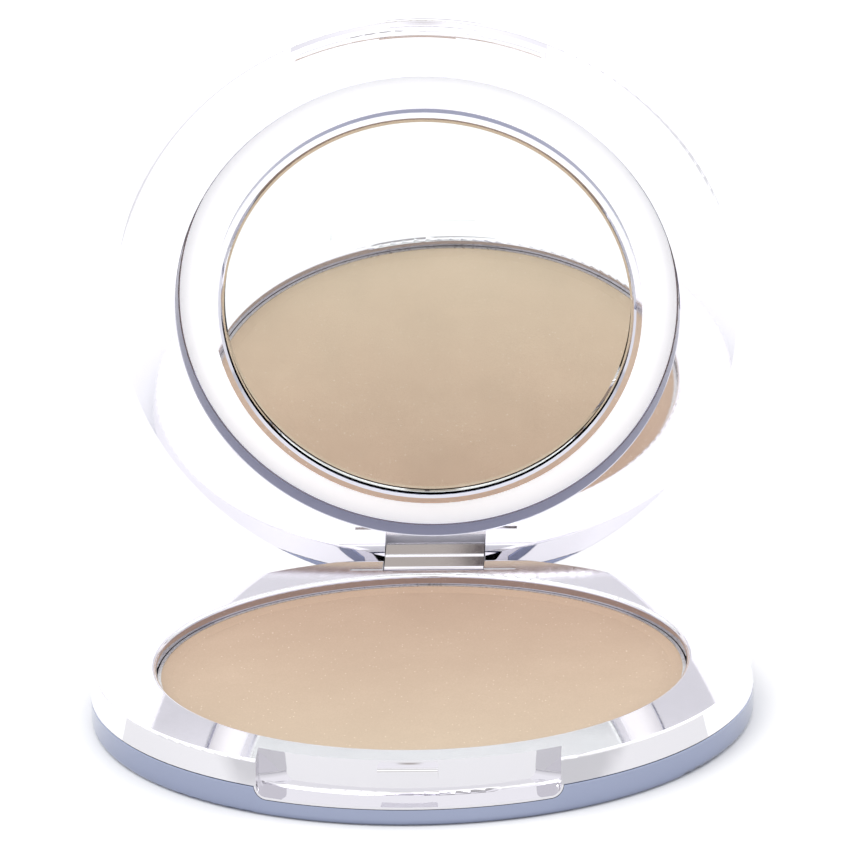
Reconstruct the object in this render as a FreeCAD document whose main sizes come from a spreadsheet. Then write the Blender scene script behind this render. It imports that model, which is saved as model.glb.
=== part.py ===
"""Round mirrored powder compact: base with pressed powder, lid with mirror, one rear hinge.

Millimetres. Origin at the centre of the bottom face, +Z up, +Y towards the hinge.
The lid is drawn closed in its own frame, whose zero height is its inner face, and
every lid piece is then turned about the hinge pin to the open position.
"""
import FreeCAD, Part
import math
import os

import Sketcher

os.makedirs("parts", exist_ok=True)
doc = FreeCAD.newDocument("powder_compact")
sheet = doc.addObject("Spreadsheet::Sheet", "Dims")


class Dim:
    """A number together with the spreadsheet expression that gives it."""

    def __init__(self, value, text=None):
        self.value = float(value)
        self.text = text if text else repr(float(value))

    def _join(self, other, sign, value):
        return Dim(value, "(%s %s %s)" % (self.text, sign, as_dim(other).text))

    def __add__(self, other):
        return self._join(other, "+", self.value + as_dim(other).value)

    def __sub__(self, other):
        return self._join(other, "-", self.value - as_dim(other).value)

    def __mul__(self, other):
        return self._join(other, "*", self.value * as_dim(other).value)

    def __truediv__(self, other):
        return self._join(other, "/", self.value / as_dim(other).value)

    def __neg__(self):
        return Dim(-self.value, "(0 - %s)" % self.text)


def as_dim(number):
    return number if isinstance(number, Dim) else Dim(number)


def cell(alias, value, note):
    """Put one driving dimension in the sheet and return it."""
    cell.row += 1
    sheet.set("A%d" % cell.row, alias)
    sheet.set("B%d" % cell.row, str(value))
    sheet.set("C%d" % cell.row, note)
    sheet.setAlias("B%d" % cell.row, alias)
    return Dim(value, "Dims." + alias)


cell.row = 0

# Base
top_radius = cell("top_radius", 38.0, "edge of the base's top face")
seam_radius = cell("seam_radius", 38.5, "widest circle, at the seam")
base_height = cell("base_height", 6.2, "bottom face to top face")
seam_height = cell("seam_height", 3.2, "where shell and deck meet")
shell_wall = cell("shell_wall", 1.2, "wall and floor of the shell")
foot_round = cell("foot_round", 0.7, "rounding under the shell")
foot_recess = cell("foot_recess", 0.3, "groove round the panel under the shell")
foot_groove = cell("foot_groove", 0.7, "width of that groove")
foot_ring = cell("foot_ring", 2.6, "width of the ring that it rests on")
deck_wall = cell("deck_wall", 1.0, "walls of the deck")
edge_round = cell("edge_round", 0.3, "rounding of the deck's outer edge")
opening_radius = cell("opening_radius", 30.8, "powder opening")
opening_round = cell("opening_round", 0.55, "rounding of the powder opening")
fit_gap = cell("fit_gap", 0.1, "gap between bonded mouldings")

# Thumb recess and catch
recess_half = cell("recess_half", 16.65, "half width of the thumb recess")
recess_radius = cell("recess_radius", 34.8, "back wall of the thumb recess")
recess_depth = cell("recess_depth", 3.8, "ledge below the top face")
recess_round = cell("recess_round", 1.1, "rounded corners of the recess")
wall_draft = cell("wall_draft", 0.07, "slope of the recess wall, run per rise")
ledge_fall = cell("ledge_fall", 0.05, "slope of the ledge, rise per run")
recess_cove = cell("recess_cove", 0.3, "hollow corner between wall and ledge")
ledge_lip = cell("ledge_lip", 0.25, "ledge edge over the shell")
catch_width = cell("catch_width", 6.6, "catch nose")
catch_height = cell("catch_height", 1.2, "catch nose")
catch_reach = cell("catch_reach", 1.2, "catch nose")
catch_drop = cell("catch_drop", 0.5, "catch nose below the top face")
catch_round = cell("catch_round", 0.35, "rounded front edge of the catch nose")

# Powder
pan_radius = cell("pan_radius", 30.72, "outside of the pan")
pan_wall = cell("pan_wall", 0.4, "sheet of the pan")
pan_drop = cell("pan_drop", 1.35, "pan rim below the top face")
tape_thickness = cell("tape_thickness", 0.15, "double-sided discs")
cake_drop = cell("cake_drop", 0.5, "flat of the cake below the rim")
cake_shoulder = cell("cake_shoulder", 1.3, "width of the sloping edge")

# Hinge
hinge_setback = cell("hinge_setback", 35.8, "pin behind the centre")
hinge_drop = cell("hinge_drop", 2.87, "pin below the top face")
pin_radius = cell("pin_radius", 0.75, "hinge pin")
pin_half = cell("pin_half", 9.6, "half length of the pin")
running_gap = cell("running_gap", 0.05, "pin in the lug")
press_gap = cell("press_gap", 0.01, "pin in the base")
lug_half = cell("lug_half", 6.15, "half width of the lid's lug")
lug_radius = cell("lug_radius", 2.4, "barrel of the lug")
lug_cove = cell("lug_cove", 0.2, "hollow corner between lug and face")
pocket_half = cell("pocket_half", 6.28, "half width of the pocket for the lug")
pocket_front = cell("pocket_front", 33.15, "front of the pocket")
pocket_bevel = cell("pocket_bevel", 0.9, "bevel on the front edge of the pocket")
pocket_floor = cell("pocket_floor", 0.65, "top of the floor under the lug")
block_half = cell("block_half", 10.6, "half width of the hinge block")
post_start = cell("post_start", 7.2, "inner end of the posts under the pin")
post_length = cell("post_length", 2.0, "posts under the pin")
block_front = cell("block_front", 31.2, "front of the hinge block")
slot_width = cell("slot_width", 0.7, "slots beside the pocket")
slot_length = cell("slot_length", 4.0, "slots beside the pocket")
slot_front = cell("slot_front", 32.4, "slots beside the pocket")
slot_depth = cell("slot_depth", 0.2, "slots beside the pocket")
swing_gap = cell("swing_gap", 0.1, "room for the lid's face as it turns")

# Lid
open_angle = cell("open_angle", 79.8, "lid opening at rest")
closing_gap = cell("closing_gap", 0.05, "lid over base when closed")
lid_radius = cell("lid_radius", 37.95, "widest circle of the lid")
lid_roll = cell("lid_roll", 0.35, "rolled edge round the inner face")
lid_roll_height = cell("lid_roll_height", 0.3, "inner face to the widest circle")
lid_seam = cell("lid_seam", 37.6, "radius where frame and cover meet")
face_radius = cell("face_radius", 37.65, "edge of the flat inner face")
flange = cell("flange", 1.0, "thickness of the frame's outer flange")
cover_height = cell("cover_height", 5.2, "inner face to top of the cover")
cover_shoulder = cell("cover_shoulder", 4.25, "where the dome meets the edge")
cover_flat = cell("cover_flat", 34.3, "radius of the dome")
cover_edge = cell("cover_edge", 5.0, "rounding of the cover's side")
cover_wall = cell("cover_wall", 1.0, "wall of the cover")
plug_radius = cell("plug_radius", 35.4, "rim of the frame inside the cover")
plug_height = cell("plug_height", 2.1, "rim of the frame inside the cover")
dish_radius = cell("dish_radius", 30.6, "edge of the dish round the mirror")
dish_depth = cell("dish_depth", 2.6, "dish at its outer wall")
dish_draft = cell("dish_draft", 0.2, "outer wall of the dish, edge to floor")
dish_rise = cell("dish_rise", 1.2, "dish at the bezel")
bezel_radius = cell("bezel_radius", 26.1, "outside of the mirror bezel")
bezel_inner = cell("bezel_inner", 25.1, "inside of the mirror bezel")
bezel_bevel = cell("bezel_bevel", 0.3, "bevel inside the bezel")
glass_radius = cell("glass_radius", 24.95, "mirror glass")
glass_inset = cell("glass_inset", 0.45, "glass below the bezel")
glass_thickness = cell("glass_thickness", 1.1, "mirror glass")
silver_gap = cell("silver_gap", 0.02, "glass to silver")
silver_thickness = cell("silver_thickness", 0.08, "silver and backing paint")
frame_floor = cell("frame_floor", 1.4, "frame behind the mirror")
tongue_half = cell("tongue_half", 15.1, "half width of the lid's tongue")
tongue_outer = cell("tongue_outer", 37.4, "outside of the tongue")
tongue_inner = cell("tongue_inner", 36.6, "inside of the tongue")
tongue_height = cell("tongue_height", 2.2, "tongue below the inner face")
tongue_edge = cell("tongue_edge", 0.2, "rounded tip of the tongue")
tongue_corner = cell("tongue_corner", 0.9, "rounded ends of the tongue")
bead_half = cell("bead_half", 4.5, "half width of the tongue's bead")
bead_reach = cell("bead_reach", 0.2, "bead towards the catch")

doc.recompute()

hinge_height = base_height - hinge_drop
lug_drop = hinge_drop + closing_gap
FAR = 60.0


def bind(thing, name, dim):
    """Drive one property from the sheet."""
    thing.setExpression(name, as_dim(dim).text)


def origin_plane(body, role):
    for feature in body.Origin.OriginFeatures:
        if feature.Role == role:
            return feature
    raise ValueError(role)


def bulged(start, end, radius, side):
    """Middle point of an arc, bulging to the left (+1) or right (-1) of start-end."""
    dx, dy = end[0] - start[0], end[1] - start[1]
    chord = math.hypot(dx, dy)
    height = radius - math.sqrt(radius * radius - chord * chord / 4)
    middle = ((start[0] + end[0]) / 2, (start[1] + end[1]) / 2)
    return (middle[0] - side * dy / chord * height, middle[1] + side * dx / chord * height)


def outline(body, name, role, corners):
    """Closed sketch; a corner is (x, y) or (x, y, radius, side) where an arc follows it."""
    sketch = body.newObject("Sketcher::SketchObject", name)
    sketch.AttachmentSupport = [(origin_plane(body, role), "")]
    sketch.MapMode = "FlatFace"
    flat = [(as_dim(c[0]).value, as_dim(c[1]).value) for c in corners]
    heads = []
    for number, corner in enumerate(corners):
        here, there = flat[number], flat[(number + 1) % len(corners)]
        start, end = FreeCAD.Vector(*here, 0), FreeCAD.Vector(*there, 0)
        if len(corner) == 2:
            sketch.addGeometry(Part.LineSegment(start, end))
        else:
            middle = bulged(here, there, as_dim(corner[2]).value, corner[3])
            sketch.addGeometry(Part.Arc(start, FreeCAD.Vector(*middle, 0), end))
        first = sketch.getPoint(number, 1)
        heads.append(1 if (first - start).Length < (first - end).Length else 2)
    for number, corner in enumerate(corners):
        after = (number + 1) % len(corners)
        tail = 3 - heads[number]
        sketch.addConstraint(Sketcher.Constraint("Coincident", number, tail, after, heads[after]))
        for kind, axis, given in (("DistanceX", -2, corner[0]), ("DistanceY", -1, corner[1])):
            dim = as_dim(given)
            if dim.value == 0.0:
                spot = Sketcher.Constraint("PointOnObject", number, heads[number], axis)
                sketch.addConstraint(spot)
                continue
            spot = Sketcher.Constraint(kind, number, heads[number], dim.value)
            bind(sketch, "Constraints[%d]" % sketch.addConstraint(spot), dim)
        if len(corner) == 4:
            size = as_dim(corner[2])
            spot = sketch.addConstraint(Sketcher.Constraint("Radius", number, size.value))
            bind(sketch, "Constraints[%d]" % spot, size)
    return sketch


def turned(name, corners):
    """Body of revolution about Z from a half section in the XZ plane."""
    body = doc.addObject("PartDesign::Body", name)
    sketch = outline(body, name + "_section", "XZ_Plane", corners)
    solid = body.newObject("PartDesign::Revolution", name + "_turned")
    solid.Profile = sketch
    solid.ReferenceAxis = (sketch, ["V_Axis"])
    solid.Angle = 360
    return body


def extruded(name, role, corners, length):
    """Body padded both ways from an origin plane."""
    body = doc.addObject("PartDesign::Body", name)
    sketch = outline(body, name + "_section", role, corners)
    pad = body.newObject("PartDesign::Pad", name + "_pad")
    pad.Profile = sketch
    pad.Midplane = True
    bind(pad, "Length", length)
    return body


def box(name, low, high):
    """Part::Box between two corners."""
    block = doc.addObject("Part::Box", name)
    for axis, size in enumerate(("Length", "Width", "Height")):
        bind(block, size, as_dim(high[axis]) - low[axis])
        bind(block, "Placement.Base." + "xyz"[axis], low[axis])
    return block


def cradle(name, low, high, radius):
    """Box whose two lower edges along Y are rounded."""
    block = box(name + "_box", low, high)
    doc.recompute()
    bottom = min(edge.CenterOfMass.z for edge in block.Shape.Edges)
    middle = block.Shape.BoundBox.Center.x
    half = block.Shape.BoundBox.XLength / 2
    rounded = doc.addObject("Part::Fillet", name)
    rounded.Base = block
    size = as_dim(radius).value
    rounded.Edges = [(number + 1, size, size) for number, edge in enumerate(block.Shape.Edges)
                     if abs(edge.CenterOfMass.z - bottom) < 0.01
                     and abs(abs(edge.CenterOfMass.x - middle) - half) < 0.01]
    return rounded


def pillar(name, radius, low, high):
    """Part::Cylinder standing on Z."""
    rod = doc.addObject("Part::Cylinder", name)
    bind(rod, "Radius", radius)
    bind(rod, "Height", as_dim(high) - low)
    bind(rod, "Placement.Base.z", low)
    return rod


def crossbar(name, radius, half, height):
    """Part::Cylinder along X on the hinge axis."""
    rod = doc.addObject("Part::Cylinder", name)
    rod.Placement.Rotation = FreeCAD.Rotation(FreeCAD.Vector(0, 1, 0), 90)
    bind(rod, "Radius", radius)
    bind(rod, "Height", as_dim(half) * 2)
    bind(rod, "Placement.Base.x", -as_dim(half))
    bind(rod, "Placement.Base.y", hinge_setback)
    bind(rod, "Placement.Base.z", height)
    return rod


def joined(kind, name, things):
    """Boolean of two or more shapes: Fuse, Cut or Common."""
    if kind == "Fuse":
        result = doc.addObject("Part::MultiFuse", name)
        result.Shapes = things
        result.Refine = True
        return result
    result = doc.addObject("Part::" + kind, name)
    result.Base, result.Tool = things
    return result


def without(name, base, tools):
    """Base less every tool."""
    tool = tools[0] if len(tools) == 1 else joined("Fuse", name + "_tools", tools)
    return joined("Cut", name, [base, tool])


def swing_relief(name, half):
    """What lies behind the pin, above it and outside the circle that the lid's face sweeps."""
    corner = box(name + "_corner", (-half, hinge_setback, hinge_height),
                 (half, hinge_setback + 6, base_height + 2))
    sweep = crossbar(name + "_sweep", lug_drop - swing_gap, half + 1, hinge_height)
    return joined("Cut", name, [corner, sweep])


def recess_cradle(name, margin, front, back, top=FAR):
    """Outline of the thumb recess grown by a margin at its sides and floor."""
    floor = base_height - recess_depth - (seam_radius - recess_radius) * ledge_fall
    return cradle(name, (-recess_half - margin, front, floor - margin), (recess_half + margin, back, top),
                  recess_round + margin)


def make_base_shell():
    """Lower cup: floor, rounded foot and the lower band of the side wall."""
    inner = seam_radius - shell_wall
    ring = seam_radius - foot_round
    cup = turned("shell_cup", [
        (0, 0), (ring - foot_ring - foot_groove, 0), (ring - foot_ring - foot_groove, foot_recess),
        (ring - foot_ring, foot_recess), (ring - foot_ring, 0), (ring, 0, foot_round, -1),
        (seam_radius, foot_round), (seam_radius, seam_height - 0.1), (seam_radius - 0.1, seam_height),
        (inner, seam_height), (inner, shell_wall + foot_recess), (0, shell_wall + foot_recess)])
    ledge = recess_cradle("shell_ledge_seat", ledge_lip + 0.05, -FAR, -recess_radius + 4)
    hinge = box("shell_hinge_seat", (-block_half - fit_gap, block_front - 1, pocket_floor),
                (block_half + fit_gap, FAR, FAR))
    cut = without("shell_cut", cup, [ledge, hinge])
    posts = [box("post_%s" % side, (start, hinge_setback - pin_radius + fit_gap, pocket_floor - 0.1),
                 (start + post_length, hinge_setback + pin_radius - fit_gap, hinge_height - pin_radius - press_gap))
             for side, start in (("left", -post_start - post_length), ("right", post_start))]
    return joined("Fuse", "base_shell", [cut] + posts)


def make_base_deck():
    """Upper ring: top face, upper band, powder opening, thumb recess and hinge block."""
    low = shell_wall + foot_recess + fit_gap
    skirt = seam_radius - shell_wall - fit_gap
    under = base_height - deck_wall
    lower_edge = seam_height + 0.06
    ring = turned("deck_ring", [
        (opening_radius + opening_round, base_height), (top_radius - edge_round, base_height, edge_round, 1),
        (top_radius, base_height - edge_round), (seam_radius, lower_edge + 0.1),
        (seam_radius - 0.1, lower_edge), (skirt, lower_edge), (skirt, low),
        (skirt - deck_wall, low), (skirt - deck_wall, under), (opening_radius + deck_wall, under),
        (opening_radius + deck_wall, low), (opening_radius, low),
        (opening_radius, base_height - opening_round, opening_round, 1)])
    block_top = base_height - edge_round
    inside = box("recess_block_box", (-recess_half - 1, -FAR, base_height - recess_depth - 0.8),
                 (recess_half + 1, -20, block_top))
    inside_limit = turned("recess_block_ring", [
        (recess_radius - deck_wall, low), (skirt, low), (skirt, block_top), (recess_radius - deck_wall, block_top)])
    outside = recess_cradle("recess_lip_outline", ledge_lip, -FAR, -20, block_top)
    outside_limit = turned("recess_lip_ring", [
        (recess_radius - deck_wall, low), (seam_radius - 0.05, low), (seam_radius - 0.05, lower_edge + 0.1),
        (top_radius, block_top), (recess_radius - deck_wall, block_top)])
    front_blocks = [joined("Common", "recess_block", [inside, inside_limit]),
                    joined("Common", "recess_lip", [outside, outside_limit])]
    rear = box("hinge_block_box", (-block_half, block_front, 0), (block_half, FAR, FAR))
    rear_limit = turned("hinge_block_disc", [
        (0, pocket_floor + fit_gap), (seam_radius, pocket_floor + fit_gap), (seam_radius, seam_height),
        (top_radius, base_height - edge_round, edge_round, -1), (top_radius - edge_round, base_height),
        (0, base_height)])
    rear_block = joined("Common", "hinge_block", [rear, rear_limit])
    body = joined("Fuse", "deck_body", [ring, rear_block] + front_blocks)

    ledge = base_height - recess_depth
    scoop = recess_cradle("recess_space_outline", 0, -FAR, -20)
    reach = 46
    drum = turned("recess_space_ring", [
        (recess_radius + recess_cove, ledge), (reach, ledge - (as_dim(reach) - recess_radius) * ledge_fall),
        (reach, 10), (recess_radius - (as_dim(10) - ledge) * wall_draft, 10),
        (recess_radius, ledge + recess_cove, recess_cove, -1)])
    recess = joined("Common", "recess_space", [scoop, drum])
    pocket = extruded("pocket_space", "YZ_Plane", [
        (pocket_front, pocket_floor - 0.2), (FAR, pocket_floor - 0.2), (FAR, 10), (pocket_front - pocket_bevel, 10),
        (pocket_front - pocket_bevel, base_height), (pocket_front, base_height - pocket_bevel)], pocket_half * 2)
    groove = crossbar("pin_groove", pin_radius + press_gap, pin_half + 0.1, hinge_height)
    groove_mouth = box("pin_groove_mouth", (-pin_half - 0.1, hinge_setback - pin_radius - press_gap, -1),
                       (pin_half + 0.1, hinge_setback + pin_radius + press_gap, hinge_height))
    slots = [box("slot_%s" % side, (start, slot_front, base_height - slot_depth),
                 (start + slot_length, slot_front + slot_width, FAR))
             for side, start in (("left", -pocket_half - slot_length + 0.1), ("right", pocket_half - 0.1))]
    relief = swing_relief("deck_relief", 14.0)
    cut = without("deck_cut", body, [recess, pocket, groove, groove_mouth, relief] + slots)
    nose_top = base_height - catch_drop
    front_face = -recess_radius - catch_reach
    nose = extruded("catch_nose", "YZ_Plane", [
        (-recess_radius + 0.6, nose_top), (front_face + catch_round, nose_top, catch_round, -1),
        (front_face, nose_top - catch_round), (front_face, nose_top - catch_height),
        (-recess_radius + 0.6, nose_top - catch_height)], catch_width)
    return joined("Fuse", "base_deck", [cut, nose])


def make_powder():
    """Pan, pressed cake and the disc that holds the pan."""
    floor = shell_wall + foot_recess
    seat = floor + tape_thickness
    rim = base_height - pan_drop
    inner = pan_radius - pan_wall
    bend = 0.8
    turned("pan_adhesive", [(0, floor), (pan_radius - 2, floor), (pan_radius - 2, seat), (0, seat)])
    turned("powder_pan", [
        (0, seat), (pan_radius - bend, seat, bend, -1), (pan_radius, seat + bend), (pan_radius, rim),
        (inner, rim), (inner, seat + bend), (inner - 0.4, seat + pan_wall), (0, seat + pan_wall)])
    turned("powder_cake", [
        (0, seat + pan_wall), (inner - 0.4, seat + pan_wall), (inner, seat + bend),
        (inner, rim - 0.12), (inner - cake_shoulder, rim - cake_drop), (0, rim - cake_drop)])


def lug_section():
    """Barrel and web of the lid's lug, in the YZ plane of the closed lid."""
    front, back = hinge_setback - lug_radius, hinge_setback + lug_radius
    return [(front - lug_cove, flange), (front - lug_cove, 0, lug_cove, 1), (front, -lug_cove),
            (front, -lug_drop, lug_radius * 1.0001, -1),
            (hinge_setback, -lug_drop - lug_radius, lug_radius * 1.0001, -1),
            (back, -lug_drop), (back, flange)]


def make_lid_frame():
    """Inner moulding of the lid: flat face, dish, mirror bezel, tongue and hinge lug."""
    seat = glass_inset + glass_thickness + silver_gap + silver_thickness + tape_thickness
    back = seat + frame_floor
    ring = turned("frame_ring", [
        (0, seat), (bezel_inner, seat), (bezel_inner, bezel_bevel), (bezel_inner + bezel_bevel, 0),
        (bezel_radius, 0), (bezel_radius, dish_rise), (dish_radius - dish_draft, dish_depth),
        (dish_radius, 0.08), (dish_radius + 0.08, 0), (face_radius, 0, lid_roll, -1),
        (lid_radius, lid_roll_height), (lid_seam, flange), (plug_radius, flange),
        (plug_radius, plug_height), (plug_radius - 1, plug_height), (plug_radius - 1, flange),
        (dish_radius + 0.9, flange), (dish_radius + 0.9, back), (0, back)])
    arm = extruded("lug_arm", "YZ_Plane", lug_section(), lug_half * 2)
    arm_limit = pillar("lug_limit", lid_radius, -12, 12)
    lug = joined("Common", "lug", [arm, arm_limit])
    whole = joined("Fuse", "frame_body", [ring, lug] + make_tongue())
    bore = crossbar("pin_bore_lug", pin_radius + running_gap, lug_half + 1, -lug_drop)
    return without("lid_frame", whole, [bore])


def make_tongue():
    """Strip that drops into the thumb recess, with a bead that snaps under the catch nose."""
    tip = -tongue_height
    strip = turned("tongue_ring", [
        (tongue_inner, 0.5), (tongue_inner, tip + tongue_edge, tongue_edge, -1), (tongue_inner + tongue_edge, tip),
        (tongue_outer - tongue_edge, tip, tongue_edge, -1), (tongue_outer, tip + tongue_edge), (tongue_outer, 0.5)])
    bead = turned("bead_ring", [
        (tongue_inner + 0.2, tip + 0.1), (tongue_inner + 0.2, tip + 1.1), (tongue_inner, tip + 1.1),
        (tongue_inner - bead_reach, tip + 0.5), (tongue_inner - bead_reach, tip + 0.3), (tongue_inner, tip + 0.1)])
    ends = cradle("tongue_ends", (-tongue_half, -FAR, tip - 0.02), (tongue_half, -20, 1), tongue_corner)
    sides = box("bead_ends", (-bead_half, -FAR, -6), (bead_half, -20, 1))
    return [joined("Common", "tongue_strip", [strip, ends]), joined("Common", "tongue_bead", [bead, sides])]


def make_lid_cover():
    """Domed outer shell of the lid."""
    rim = flange + 0.05
    outer, inner = lid_seam - 0.02, lid_seam - 0.02 - cover_wall
    inner_flat = cover_flat - 0.4
    drop = cover_height - cover_shoulder
    crown = (cover_flat * cover_flat + drop * drop) / (drop * 2)
    inner_crown = (inner_flat * inner_flat + drop * drop) / (drop * 2)
    turned("lid_cover", [
        (inner, rim), (outer, rim, cover_edge, -1), (cover_flat, cover_shoulder, crown, -1), (0, cover_height),
        (0, cover_height - cover_wall, inner_crown, 1), (inner_flat, cover_shoulder - cover_wall, cover_edge - 0.6, 1)])


def make_mirror():
    """Glass disc, its silvered back and the disc that holds it."""
    front = glass_inset
    back = front + glass_thickness
    silver = back + silver_gap
    painted = silver + silver_thickness
    bevel = 0.25
    turned("mirror_glass", [
        (0, front), (glass_radius - bevel, front), (glass_radius, front + bevel), (glass_radius, back), (0, back)])
    turned("mirror_silvering", [(0, silver), (glass_radius, silver), (glass_radius, painted), (0, painted)])
    turned("mirror_adhesive", [
        (0, painted), (glass_radius - 1.5, painted), (glass_radius - 1.5, painted + tape_thickness),
        (0, painted + tape_thickness)])


def open_lid(names):
    """Lift the lid's pieces onto the base and turn them open about the pin."""
    pivot = FreeCAD.Vector(0, hinge_setback.value, hinge_height.value)
    lift = FreeCAD.Placement(FreeCAD.Vector(0, 0, (base_height + closing_gap).value), FreeCAD.Rotation())
    turn = FreeCAD.Rotation(FreeCAD.Vector(1, 0, 0), -open_angle.value)
    swing = FreeCAD.Placement(FreeCAD.Vector(), turn, pivot)
    for name in names:
        doc.getObject(name).Placement = swing.multiply(lift)


BASE_NODES = ["base_shell", "base_deck", "powder_pan", "powder_cake", "pan_adhesive", "hinge_pin"]
LID_NODES = ["lid_cover", "lid_frame", "mirror_glass", "mirror_silvering", "mirror_adhesive"]

make_base_shell()
make_base_deck()
make_powder()
crossbar("hinge_pin", pin_radius, pin_half, hinge_height)
make_lid_frame()
make_lid_cover()
make_mirror()
doc.recompute()
open_lid(LID_NODES)
doc.recompute()

for thing in doc.Objects:
    bad = {"Invalid", "Error"} & set(thing.State)
    if bad:
        raise RuntimeError("%s is %s" % (thing.Name, sorted(bad)))

for name in BASE_NODES + LID_NODES:
    part = doc.getObject(name)
    part.Label = name
    shape = part.Shape
    if shape.isNull() or not shape.isValid() or len(shape.Solids) != 1:
        raise RuntimeError("%s is not one valid solid" % name)
    shape.exportStep("parts/%s.step" % name)
    limits = shape.BoundBox
    print("%-18s %9.1f mm3  x %.1f..%.1f  y %.1f..%.1f  z %.1f..%.1f" % (
        name, shape.Volume, limits.XMin, limits.XMax, limits.YMin, limits.YMax, limits.ZMin, limits.ZMax))
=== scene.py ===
"""Looks of the powder compact: materials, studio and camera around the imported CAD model."""
import math

import bpy
from mathutils import Matrix, Vector

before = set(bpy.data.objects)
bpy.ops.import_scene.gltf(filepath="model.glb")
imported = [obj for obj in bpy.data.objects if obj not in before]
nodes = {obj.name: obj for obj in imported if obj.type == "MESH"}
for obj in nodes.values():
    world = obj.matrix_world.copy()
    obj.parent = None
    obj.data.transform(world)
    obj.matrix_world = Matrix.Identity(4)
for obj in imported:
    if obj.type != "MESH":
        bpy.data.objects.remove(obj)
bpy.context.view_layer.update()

MM = 0.001
ORIGIN = (0.0, 0.0, 0.0)
UPWARD = (0.0, 0.0, 1.0)
LID_OUT = (0.0, -0.9842, -0.1771)      # way that the open lid's inner face looks
LID_CENTRE = (0.0, 32.335, 39.08)      # middle of that face, mm

# edges between finishes, mm
OPENING_REACH = 31.2                   # the wall of the powder opening lies within this radius
POCKET_FRONT = 33.0
POCKET_TOP = 6.12
POCKET_REACH = 37.6
TINT_FRONT = -20.0                     # painted shade: the deck's outer wall is darkened in front of this Y
BEZEL_REACH = 31.0                     # the tinted walls of the lid frame lie within this radius
DISH_OUTER = 30.3
DISH_INNER = 26.15
POWDER_LIGHT_SHIFT = 26.0                    # painted light: the powder changes colour from minus to plus this Y

SILVER = (0.90, 0.89, 0.925)
# painted shade on the lid frame's walls along its axis
SLATE = (0.25, 0.26, 0.36)
COOL_BLUE = (0.31, 0.345, 0.465)
# painted shade on the wall of the powder opening
PAINTED_WALL_SHADE = (0.50, 0.47, 0.53)
BARE_PLASTIC = (0.66, 0.66, 0.70)
WHITE_LACQUER = (0.95, 0.95, 0.955)
# painted shade: the deck's outer wall in front is drawn this much darker
FRONT_PAINTED_SHADE = 0.76
COAT_ROUGHNESS = 0.035
BLUE_ROUGHNESS = 0.06
RIPPLE = 0.012


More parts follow.
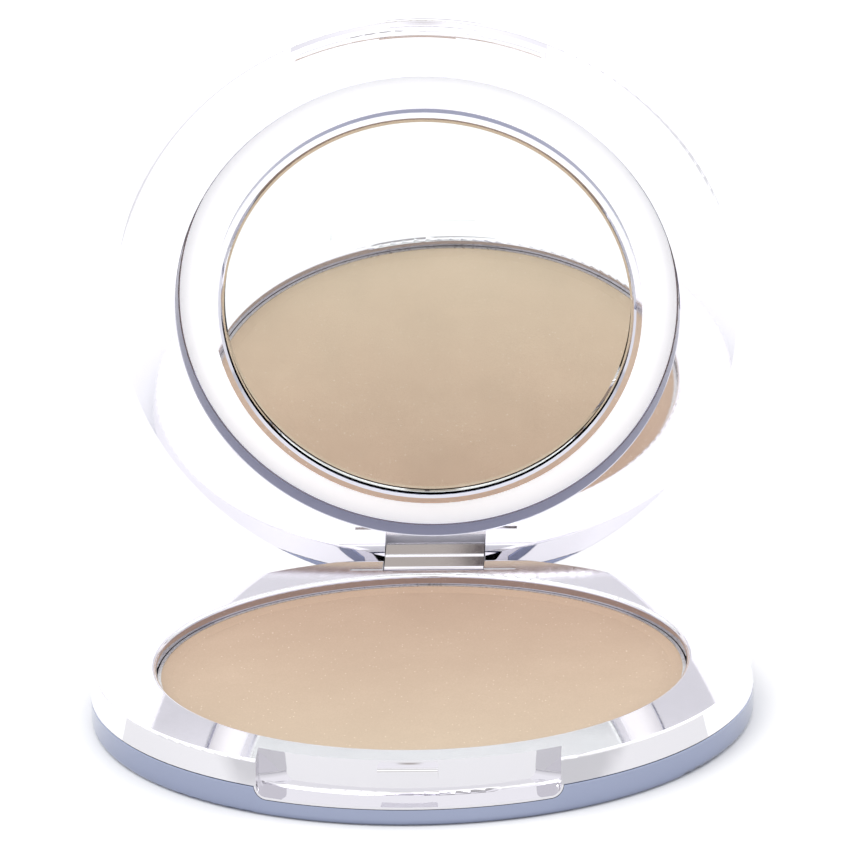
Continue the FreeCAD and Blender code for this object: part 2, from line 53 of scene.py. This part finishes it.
# ---------------------------------------------------------------- materials
class Graph:
    """Short way to write a material's node tree."""

    def __init__(self, name):
        self.mat = bpy.data.materials.new(name)
        self.mat.use_nodes = True
        self.tree = self.mat.node_tree
        self.shader = self.tree.nodes["Principled BSDF"]

    def node(self, kind, **settings):
        made = self.tree.nodes.new(kind)
        for key, value in settings.items():
            setattr(made, key, value)
        return made

    def link(self, a, b):
        self.tree.links.new(a, b)

    def drive(self, **sockets):
        """Link each value to the shader socket of that name, written with _ for a space."""
        for key, value in sockets.items():
            self.link(value, self.shader.inputs[key.replace("_", " ")])

    def fix(self, **values):
        """Set shader sockets that are the same all over."""
        for key, value in values.items():
            self.shader.inputs[key.replace("_", " ")].default_value = value

    def coords(self):
        """Object coordinates in millimetres."""
        place = self.node("ShaderNodeTexCoord")
        grow = self.node("ShaderNodeVectorMath", operation="SCALE")
        grow.inputs["Scale"].default_value = 1.0 / MM
        self.link(place.outputs["Object"], grow.inputs[0])
        return grow.outputs[0]

    def facing(self, direction):
        """Cosine between the surface's normal and a direction."""
        spot = self.node("ShaderNodeTexCoord")
        return self.dot(spot.outputs["Normal"], direction)

    def split(self, vector):
        """X, Y and Z of a vector, as sockets by name."""
        parts = self.node("ShaderNodeSeparateXYZ")
        self.link(vector, parts.inputs[0])
        return parts.outputs

    def away(self, vector, centre):
        """Offset of a place from a centre."""
        offset = self.node("ShaderNodeVectorMath", operation="SUBTRACT")
        self.link(vector, offset.inputs[0])
        offset.inputs[1].default_value = centre
        return offset.outputs[0]

    def math(self, operation, first, second=None):
        """One sum; the second value is a socket or a number."""
        made = self.node("ShaderNodeMath", operation=operation)
        self.link(first, made.inputs[0])
        if isinstance(second, (int, float)):
            made.inputs[1].default_value = second
        elif second is not None:
            self.link(second, made.inputs[1])
        return made.outputs[0]

    def dot(self, vector, direction):
        made = self.node("ShaderNodeVectorMath", operation="DOT_PRODUCT")
        self.link(vector, made.inputs[0])
        made.inputs[1].default_value = direction
        return made.outputs["Value"]

    def dot_self(self, vector):
        made = self.node("ShaderNodeVectorMath", operation="DOT_PRODUCT")
        self.link(vector, made.inputs[0])
        self.link(vector, made.inputs[1])
        return made.outputs["Value"]

    def mix(self, share, first, second):
        """Colour between two; each is a socket or a plain colour."""
        made = self.node("ShaderNodeMix", data_type="RGBA")
        self.link(share, made.inputs[0])
        for socket, given in ((made.inputs[6], first), (made.inputs[7], second)):
            if isinstance(given, tuple):
                socket.default_value = (*given, 1.0)
            else:
                self.link(given, socket)
        return made.outputs[2]

    def noise(self, vector, scale, detail, rough=0.5):
        made = self.node("ShaderNodeTexNoise")
        made.inputs["Scale"].default_value = scale
        made.inputs["Detail"].default_value = detail
        made.inputs["Roughness"].default_value = rough
        self.link(vector, made.inputs["Vector"])
        return made.outputs["Fac"]

    def span(self, value, low, high, from_low=0.0, from_high=1.0):
        """Value mapped from its own range onto low to high."""
        made = self.node("ShaderNodeMapRange")
        made.inputs["From Min"].default_value = from_low
        made.inputs["From Max"].default_value = from_high
        made.inputs["To Min"].default_value = low
        made.inputs["To Max"].default_value = high
        self.link(value, made.inputs["Value"])
        return made.outputs["Result"]

    def ramp(self, value, stops):
        made = self.node("ShaderNodeValToRGB")
        band = made.color_ramp
        while len(band.elements) < len(stops):
            band.elements.new(0.5)
        for element, (at, colour) in zip(band.elements, stops):
            element.position = at
            element.color = (*colour, 1.0)
        self.link(value, made.inputs["Fac"])
        return made.outputs["Color"]

    def bump(self, height, strength, distance, normal=None):
        """Normal roughened by a height, over another normal if there is one."""
        made = self.node("ShaderNodeBump")
        made.inputs["Strength"].default_value = strength
        made.inputs["Distance"].default_value = distance
        self.link(height, made.inputs["Height"])
        if normal is not None:
            self.link(normal, made.inputs["Normal"])
        return made.outputs["Normal"]


def around(g, here, centre, axis):
    """Square of the distance from an axis, and how far the surface faces along that axis."""
    offset = g.away(here, centre)
    depth = g.dot(offset, axis)
    reach = g.dot_self(offset)
    flat = g.math("SUBTRACT", reach, g.math("MULTIPLY", depth, depth))
    return flat, g.math("ABSOLUTE", g.facing(axis))


def within(g, flat, radius):
    return g.math("LESS_THAN", flat, radius ** 2)


def beyond(g, flat, radius):
    return g.math("GREATER_THAN", flat, radius ** 2)


def metallised(name, colour, roughness=COAT_ROUGHNESS):
    """Vacuum-metallised plastic: mirror bright, with moulding ripple and faint wiping marks."""
    g = Graph(name)
    g.fix(Metallic=1.0)
    here = g.coords()
    cloud = g.noise(here, 0.06, 2.0)
    tint = g.ramp(cloud, [(0.35, tuple(c * 0.985 for c in colour)), (0.65, colour)])
    wipe = g.noise(here, 0.9, 5.0, 0.65)
    polish = g.span(wipe, roughness * 0.7, roughness * 1.5, 0.3, 0.7)
    swell = g.noise(here, 0.12, 1.0)
    g.drive(Normal=g.bump(swell, RIPPLE, 0.0004), Base_Color=tint, Roughness=polish)
    return g, here, tint, polish


def deck_metal(colour, shade):
    """Metallised deck.

    The wall of the opening is tinted with painted shade, and the outer wall is darkened in front with
    painted shade.
    Inside the hinge pocket the plastic is bare.
    """
    g, here, tint, polish = metallised("metallised_deck", colour)
    flat, facing = around(g, here, ORIGIN, UPWARD)
    place = g.split(here)
    upright = g.span(facing, 1.0, 0.0, 0.25, 0.6)
    wall = g.math("MULTIPLY", upright, within(g, flat, OPENING_REACH))
    rim = g.math("MULTIPLY", upright, beyond(g, flat, OPENING_REACH))
    # painted shade on the outer wall in front
    front = g.math("MULTIPLY", rim, g.math("LESS_THAN", place["Y"], TINT_FRONT))
    hidden = g.math("MULTIPLY", g.math("GREATER_THAN", place["Y"], POCKET_FRONT),
                    g.math("LESS_THAN", place["Z"], POCKET_TOP))
    inner = g.math("MULTIPLY", hidden, within(g, flat, POCKET_REACH))
    # painted shade: the opening wall and the outer wall in front are drawn darker
    tint = g.mix(wall, tint, shade)
    tint = g.mix(front, tint, tuple(c * FRONT_PAINTED_SHADE for c in colour))
    tint = g.mix(inner, tint, BARE_PLASTIC)
    bare_roughness = g.span(inner, 0.0, 0.4)
    g.drive(Base_Color=tint, Metallic=g.span(inner, 1.0, 0.0),
            Roughness=g.math("MAXIMUM", polish, bare_roughness))
    return g.mat


def frame_metal(colour, shade):
    """Metallised lid frame.

    The walls along its axis are tinted with painted shade. The dish is white lacquer with a weak glow,
    which is painted light.
    """
    g, here, tint, polish = metallised("metallised_frame", colour)
    flat, facing = around(g, here, LID_CENTRE, LID_OUT)
    upright = g.span(facing, 1.0, 0.0, 0.6, 0.8)
    wall = g.math("MULTIPLY", upright, within(g, flat, BEZEL_REACH))
    dish = g.math("MULTIPLY", within(g, flat, DISH_OUTER), beyond(g, flat, DISH_INNER))
    lacquer_and_glow = g.math("MULTIPLY", dish, g.math("GREATER_THAN", facing, 0.8))
    # painted shade on the walls along the axis; the dish is white lacquer
    tint = g.mix(lacquer_and_glow, g.mix(wall, tint, shade), WHITE_LACQUER)
    lacquer_roughness = g.span(lacquer_and_glow, 0.0, 0.5)
    # painted light: the lacquer dish glows though it is no lamp
    g.fix(Emission_Color=(1.0, 1.0, 1.0, 1.0))
    g.drive(Base_Color=tint, Metallic=g.span(lacquer_and_glow, 1.0, 0.0),
            Emission_Strength=g.span(lacquer_and_glow, 0.0, 0.32),
            Roughness=g.math("MAXIMUM", polish, lacquer_roughness))
    return g.mat


def pressed_powder():
    """Fine pressed powder with a sparse shimmer, yellower at the front than at the back, which is painted
    light.
    """
    g = Graph("powder")
    here = g.coords()
    cloud = g.noise(here, 0.12, 4.0, 0.6)
    grain = g.noise(here, 7.0, 3.0, 0.7)
    # painted light: the powder is drawn yellower in front and redder at the back
    painted_light_drift = g.span(g.split(here)["Y"], 0.0, 1.0, -POWDER_LIGHT_SHIFT, POWDER_LIGHT_SHIFT)
    mottle = g.math("ADD", g.math("MULTIPLY", grain, 0.7), g.math("MULTIPLY", cloud, 0.3))
    front = g.ramp(mottle, [(0.3, (0.525, 0.42, 0.312)),
                            (0.5, (0.565, 0.452, 0.338)),
                            (0.7, (0.625, 0.51, 0.385))])
    rear = g.ramp(mottle, [(0.3, (0.515, 0.362, 0.268)),
                           (0.5, (0.558, 0.396, 0.292)),
                           (0.7, (0.62, 0.455, 0.342))])
    cells = g.node("ShaderNodeTexVoronoi", feature="F1")
    cells.inputs["Scale"].default_value = 2.6
    g.link(here, cells.inputs["Vector"])
    pick = g.node("ShaderNodeSeparateColor")
    g.link(cells.outputs["Color"], pick.inputs[0])
    rare = g.math("GREATER_THAN", pick.outputs[0], 0.9)
    close = g.math("LESS_THAN", cells.outputs["Distance"], 0.17)
    speck = g.math("MULTIPLY", rare, close)
    fine = g.bump(grain, 0.35, 0.00008)
    g.fix(Specular_IOR_Level=0.25)
    g.drive(Base_Color=g.mix(speck, g.mix(painted_light_drift, front, rear), (0.95, 0.86, 0.74)),
            Roughness=g.span(speck, 0.92, 0.3), Metallic=g.span(speck, 0.0, 0.8),
            Normal=g.bump(cloud, 0.2, 0.0002, fine))
    return g.mat


def satin_sheet():
    """Pressed aluminium of the pan, with drawing marks."""
    g = Graph("pan_metal")
    marks = g.noise(g.coords(), 3.0, 6.0, 0.7)
    g.fix(Metallic=1.0)
    g.drive(Base_Color=g.ramp(marks, [(0.3, (0.55, 0.55, 0.56)), (0.7, (0.72, 0.72, 0.71))]),
            Roughness=g.span(marks, 0.22, 0.4, 0.3, 0.7), Normal=g.bump(marks, 0.2, 0.00005))
    return g.mat


def tape():
    """Double-sided adhesive disc."""
    g = Graph("tape")
    fibre = g.noise(g.coords(), 2.5, 6.0, 0.75)
    g.drive(Base_Color=g.ramp(fibre, [(0.3, (0.74, 0.72, 0.65)), (0.7, (0.88, 0.87, 0.82))]),
            Roughness=g.span(fibre, 0.55, 0.8), Normal=g.bump(fibre, 0.4, 0.00006))
    return g.mat


def clear_glass():
    """Clear mirror glass with a barely green body."""
    g = Graph("glass")
    haze = g.noise(g.coords(), 0.15, 2.0)
    g.fix(Transmission_Weight=1.0, IOR=1.5, Roughness=0.0)
    g.drive(Base_Color=g.ramp(haze, [(0.3, (0.975, 0.99, 0.985)), (0.7, (0.99, 1.0, 0.995))]))
    return g.mat


def silver_and_paint():
    """Bright silver against the glass, grey backing paint on the back and the edge."""
    g = Graph("silvering")
    bright = g.math("GREATER_THAN", g.facing(LID_OUT), 0.9)
    spray = g.noise(g.coords(), 1.5, 5.0, 0.7)
    paint = g.ramp(spray, [(0.3, (0.22, 0.23, 0.24)), (0.7, (0.30, 0.31, 0.32))])
    g.drive(Base_Color=g.mix(bright, paint, (0.93, 0.93, 0.925)), Metallic=bright,
            Roughness=g.span(bright, 0.6, 0.0))
    return g.mat


def drawn_steel():
    """Wire of the hinge pin, with lines along it."""
    g = Graph("pin_steel")
    stretch = g.node("ShaderNodeVectorMath", operation="MULTIPLY")
    stretch.inputs[1].default_value = (0.15, 6.0, 6.0)
    g.link(g.coords(), stretch.inputs[0])
    lines = g.noise(stretch.outputs[0], 1.2, 4.0, 0.7)
    g.fix(Metallic=1.0)
    g.drive(Base_Color=g.ramp(lines, [(0.3, (0.42, 0.42, 0.43)), (0.7, (0.6, 0.6, 0.61))]),
            Roughness=g.span(lines, 0.2, 0.38), Normal=g.bump(lines, 0.25, 0.00004))
    return g.mat


paper = tape()
looks = {
    "base_shell": metallised("metallised_blue", COOL_BLUE, BLUE_ROUGHNESS)[0].mat,
    "base_deck": deck_metal(SILVER, PAINTED_WALL_SHADE),
    "powder_pan": satin_sheet(),
    "powder_cake": pressed_powder(),
    "pan_adhesive": paper,
    "hinge_pin": drawn_steel(),
    "lid_cover": metallised("metallised", SILVER)[0].mat,
    "lid_frame": frame_metal(SILVER, SLATE),
    "mirror_glass": clear_glass(),
    "mirror_silvering": silver_and_paint(),
    "mirror_adhesive": paper,
}
for name, mat in looks.items():
    piece = nodes[name]
    piece.data.materials.clear()
    piece.data.materials.append(mat)


# ---------------------------------------------------------------- studio
FLOOR_HALF = 6.0                       # metres from the middle to an edge
FLOOR_DROP = 0.00002                   # metres under the base, so that the faces don't touch
FLOOR_BRIGHT = (0.90, 0.90, 0.905)
FLOOR_PAINTED_SHADE = (0.60, 0.60, 0.615)
FLOOR_MIDDLE = (0.0, 200.0, 0.0)       # mm, behind the compact: middle of the painted pool of light
DIM_FROM, DIM_FULL = 290.0, 345.0      # mm from that middle


def floor():
    """Pale floor with a painted pool of light: dimmer outside a wide circle; the polished walls mirror the
    dimmer part.
    """
    mesh = bpy.data.meshes.new("floor")
    low, high = -FLOOR_HALF, FLOOR_HALF
    corners = [(low, low, 0), (high, low, 0), (high, high, 0), (low, high, 0)]
    mesh.from_pydata(corners, [], [(0, 1, 2, 3)])
    made = bpy.data.objects.new("floor", mesh)
    bpy.context.scene.collection.objects.link(made)
    g = Graph("floor")
    distance = g.math("SQRT", g.dot_self(g.away(g.coords(), FLOOR_MIDDLE)))
    g.fix(Roughness=0.6, Specular_IOR_Level=0.2)
    # painted pool of light: the floor is drawn dimmer outside the circle
    g.drive(Base_Color=g.mix(g.span(distance, 0.0, 1.0, DIM_FROM, DIM_FULL), FLOOR_BRIGHT, FLOOR_PAINTED_SHADE))
    mesh.materials.append(g.mat)
    made.location.z = -FLOOR_DROP


SKY = (1.35, 1.35, 1.36)
HAZE = (1.00, 1.00, 1.02)              # at the horizon
HAZE_TOP = 0.25                        # sine of the elevation where the haze ends
# dimmer discs in the sky: azimuth, elevation, radius of the full shade, radius of its edge; degrees
ZENITH = ((0.0, 90.0, 12.0, 20.0), (0.50, 0.49, 0.50))
BROWN_PATCH = ((-2.5, 17.8, 5.0, 8.0), (0.55, 0.505, 0.45))
DARK_SPOT = ((-1.24, 17.8, 0.93, 1.02), (0.13, 0.11, 0.11))


def toward(azimuth, elevation):
    """Direction for angles in radians; azimuth 0 is the front, -Y."""
    return Vector((math.sin(azimuth) * math.cos(elevation), -math.cos(azimuth) * math.cos(elevation),
                   math.sin(elevation)))


def smooth(tree, value, nothing, full):
    """0 at one value, 1 at another, with soft ends."""
    made = tree.nodes.new("ShaderNodeMapRange")
    made.interpolation_type = "SMOOTHSTEP"
    made.inputs["From Min"].default_value = nothing
    made.inputs["From Max"].default_value = full
    tree.links.new(value, made.inputs["Value"])
    return made.outputs["Result"]


def disc(tree, way, azimuth, elevation, inner, outer):
    """1 inside a disc of directions, 0 outside; sizes in degrees."""
    dot = tree.nodes.new("ShaderNodeVectorMath")
    dot.operation = "DOT_PRODUCT"
    dot.inputs[1].default_value = toward(math.radians(azimuth), math.radians(elevation))
    tree.links.new(way, dot.inputs[0])
    return smooth(tree, dot.outputs["Value"], math.cos(math.radians(outer)), math.cos(math.radians(inner)))


def surroundings():
    """White light tent with a hazy horizon and three dimmer discs, for the polished faces to mirror."""
    world = bpy.data.worlds.new("tent")
    bpy.context.scene.world = world
    world.use_nodes = True
    tree = world.node_tree
    back = tree.nodes["Background"]
    way = tree.nodes.new("ShaderNodeTexCoord").outputs["Generated"]
    rise = tree.nodes.new("ShaderNodeSeparateXYZ")
    tree.links.new(way, rise.inputs[0])
    layers = [(smooth(tree, rise.outputs["Z"], HAZE_TOP, 0.0), HAZE)]
    for place, shade in (ZENITH, BROWN_PATCH, DARK_SPOT):
        layers.append((disc(tree, way, *place), shade))
    below = None
    for mask, shade in layers:
        mix = tree.nodes.new("ShaderNodeMix")
        mix.data_type = "RGBA"
        tree.links.new(mask, mix.inputs[0])
        if below is None:
            mix.inputs[6].default_value = (*SKY, 1.0)
        else:
            tree.links.new(below, mix.inputs[6])
        mix.inputs[7].default_value = (*shade, 1.0)
        below = mix.outputs[2]
    tree.links.new(below, back.inputs["Color"])
    back.inputs["Strength"].default_value = 1.0


def softbox(name, place, aim, size, power):
    """Round area light; place, aim and size in metres, power in watts."""
    lamp = bpy.data.lights.new(name, "AREA")
    lamp.shape = "DISK"
    lamp.size = size
    lamp.energy = power
    made = bpy.data.objects.new(name, lamp)
    bpy.context.scene.collection.objects.link(made)
    made.location = place
    made.rotation_euler = (Vector(aim) - Vector(place)).to_track_quat("-Z", "Y").to_euler()


CAMERA_AZIMUTH = math.radians(2.81)
CAMERA_ELEVATION = math.radians(16.03)
CAMERA_ROLL = math.radians(-1.31)
CAMERA_TARGET = Vector((0.74 * MM, 0.0, 34.46 * MM))
CAMERA_DISTANCE = 499.6 * MM


def camera():
    """Long lens from the front and a little above, rolled by about a degree."""
    away = toward(CAMERA_AZIMUTH, CAMERA_ELEVATION)
    right = Vector((math.cos(CAMERA_AZIMUTH), math.sin(CAMERA_AZIMUTH), 0.0))
    up = away.cross(right)
    across = right * math.cos(CAMERA_ROLL) + up * math.sin(CAMERA_ROLL)
    upright = up * math.cos(CAMERA_ROLL) - right * math.sin(CAMERA_ROLL)
    data = bpy.data.cameras.new("camera")
    data.sensor_width = 36.0
    data.lens = 185.9
    data.clip_start = 0.01
    made = bpy.data.objects.new("camera", data)
    bpy.context.scene.collection.objects.link(made)
    turn = Matrix((across, upright, away)).transposed().to_4x4()
    made.matrix_world = Matrix.Translation(CAMERA_TARGET + away * CAMERA_DISTANCE) @ turn
    bpy.context.scene.camera = made


floor()
surroundings()
softbox("key", (-0.35, -0.25, 0.75), (0, 0, 0.02), 0.45, 1.2)
camera()
bpy.context.scene.view_settings.view_transform = "Standard"
